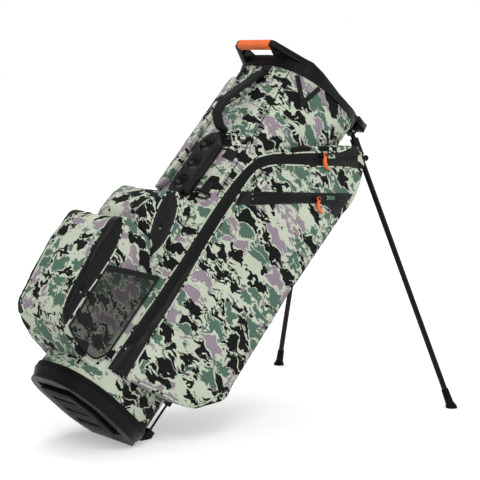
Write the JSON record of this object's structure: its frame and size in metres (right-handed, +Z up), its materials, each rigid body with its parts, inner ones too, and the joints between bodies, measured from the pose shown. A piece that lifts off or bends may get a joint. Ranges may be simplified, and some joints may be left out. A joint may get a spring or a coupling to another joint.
{
  "type": "golf stand bag",
  "caption": "Camouflage golf bag leaning on folding stand legs, with club wells, zipped pockets, ball silo, carry handle and lift grip.",
  "frame": {"origin": "on the ground, in the middle of the flat under the toe of the base", "axes": "+Z up, +X from the base towards the legs, +Y across the bag to its right"},
  "size_m": [0.9037, 0.5994, 0.8142],
  "materials": {
    "camo_fabric": "woven polyester with a printed camouflage",
    "black_fabric": "woven black polyester",
    "divider_fabric": "brushed lining",
    "mesh": "open knitted mesh",
    "webbing": "ribbed nylon webbing",
    "black_plastic": "fine-grained moulded plastic",
    "black_rubber": "matte",
    "orange_rubber": "soft-touch",
    "glass_fibre": "pultruded rod",
    "leg_metal": "satin powder coat",
    "steel": "drawn wire"
  },
  "bodies": {
    "bag": {"base_boot": "black_plastic", "base_tread": "black_rubber", "base_welt": "black_rubber", "tube_shell": "camo_fabric", "stay_rods": "glass_fibre", "divider_spine": "divider_fabric", "divider_cross": "divider_fabric", "divider_grid": "black_plastic", "top_collar": "black_plastic", "lift_grip": "orange_rubber", "grip_screws": "steel", "stand_bracket": "black_plastic", "bracket_screws": "steel", "leg_pins": "steel", "hip_pad": "black_fabric", "rod_guides": "black_plastic", "side_pocket_left": "camo_fabric", "side_pocket_right": "camo_fabric", "side_zip_left": "black_fabric", "side_zip_right": "black_fabric", "ball_pocket": "camo_fabric", "ball_zip": "black_fabric", "upper_pocket": "camo_fabric", "upper_zip": "black_fabric", "bottle_sleeve_left": "mesh", "bottle_sleeve_right": "mesh", "sleeve_elastic_left": "webbing", "sleeve_elastic_right": "webbing", "ball_silo": "black_plastic", "carry_handle": "webbing", "handle_tabs": "webbing", "towel_loop": "webbing", "cross_webbing": "webbing", "ring_tab": "webbing", "strap_pad": "black_fabric", "strap_webbing": "webbing", "toe_tab": "webbing"},
    "leg_left": {"leg_socket_left": "black_plastic", "leg_tube_left": "leg_metal", "leg_foot_left": "black_rubber", "leg_clip_left": "black_plastic"},
    "link_left": {"stand_link_left": "steel"},
    "top_slider_left": {"top_slider_left": "black_plastic"},
    "top_pull_left": {"top_pull_left": "orange_rubber"},
    "chest_slider_left": {"chest_slider_left": "black_plastic"},
    "chest_pull_left": {"chest_pull_left": "orange_rubber"},
    "leg_right": {"leg_socket_right": "black_plastic", "leg_tube_right": "leg_metal", "leg_foot_right": "black_rubber", "leg_clip_right": "black_plastic"},
    "link_right": {"stand_link_right": "steel"},
    "top_slider_right": {"top_slider_right": "black_plastic"},
    "top_pull_right": {"top_pull_right": "orange_rubber"},
    "chest_slider_right": {"chest_slider_right": "black_plastic"},
    "chest_pull_right": {"chest_pull_right": "orange_rubber"},
    "push_rods": {"push_rods": "steel", "push_shoe": "black_plastic"},
    "strap_ring": {"strap_ring": "black_plastic"}
  },
  "joints": [
    {"name": "leg_left_fold", "type": "hinge", "parent": "bag", "child": "leg_left", "pos_m": [0.61251, -0.06, 0.60962], "axis": [0.3026, 0.9085, -0.2882], "range_deg": [0, 54]},
    {"name": "leg_right_fold", "type": "hinge", "parent": "bag", "child": "leg_right", "pos_m": [0.61251, 0.06, 0.60962], "axis": [-0.3026, 0.9085, 0.2882], "range_deg": [0, 54]},
    {"name": "link_left_swing", "type": "hinge", "parent": "leg_left", "child": "link_left", "pos_m": [0.62744, -0.06723, 0.54352], "axis": [0.3026, 0.9085, -0.2882], "range_deg": [-75.1, 0]},
    {"name": "link_right_swing", "type": "hinge", "parent": "leg_right", "child": "link_right", "pos_m": [0.62744, 0.06723, 0.54352], "axis": [-0.3026, 0.9085, 0.2882], "range_deg": [-75.1, 0]},
    {"name": "push_rod_slide", "type": "slide", "parent": "bag", "child": "push_rods", "axis": [0.6896, 0, 0.7242], "range_m": [-0.0472, 0]},
    {"name": "top_zip_left", "type": "slide", "parent": "bag", "child": "top_slider_left", "axis": [0.9939, -0.1085, -0.0186], "range_m": [-0.008, 0.088]},
    {"name": "chest_zip_left", "type": "slide", "parent": "bag", "child": "chest_slider_left", "axis": [0.9907, -0.1139, -0.0742], "range_m": [-0.066, 0.07]},
    {"name": "top_pull_left_swing", "type": "hinge", "parent": "top_slider_left", "child": "top_pull_left", "pos_m": [0.4325, -0.16147, 0.57176], "axis": [-0.1061, -0.9892, 0.1011], "range_deg": [-60, 60]},
    {"name": "chest_pull_left_swing", "type": "hinge", "parent": "chest_slider_left", "child": "chest_pull_left", "pos_m": [0.40768, -0.16813, 0.48045], "axis": [-0.1061, -0.9892, 0.1011], "range_deg": [-60, 60]},
    {"name": "top_zip_right", "type": "slide", "parent": "bag", "child": "top_slider_right", "axis": [0.9939, 0.1085, -0.0186], "range_m": [-0.008, 0.088]},
    {"name": "chest_zip_right", "type": "slide", "parent": "bag", "child": "chest_slider_right", "axis": [0.9907, 0.1139, -0.0742], "range_m": [-0.066, 0.07]},
    {"name": "top_pull_right_swing", "type": "hinge", "parent": "top_slider_right", "child": "top_pull_right", "pos_m": [0.4325, 0.16147, 0.57176], "axis": [-0.1061, 0.9892, 0.1011], "range_deg": [-60, 60]},
    {"name": "chest_pull_right_swing", "type": "hinge", "parent": "chest_slider_right", "child": "chest_pull_right", "pos_m": [0.40768, 0.16813, 0.48045], "axis": [-0.1061, 0.9892, 0.1011], "range_deg": [-60, 60]},
    {"name": "strap_ring_swing", "type": "hinge", "parent": "bag", "child": "strap_ring", "pos_m": [0.16899, -0.07576, 0.50447], "axis": [-0.405, 0.829, 0.3856], "range_deg": [0, 110]}
  ],
  "couplings": [
    {"joint": "leg_right_fold", "follows": "leg_left_fold", "ratio": 1},
    {"joint": "link_left_swing", "follows": "leg_left_fold", "ratio": -1.3906},
    {"joint": "link_right_swing", "follows": "leg_left_fold", "ratio": -1.3906},
    {"joint": "push_rod_slide", "follows": "leg_left_fold", "m_per_rad": -0.049975}
  ]
}
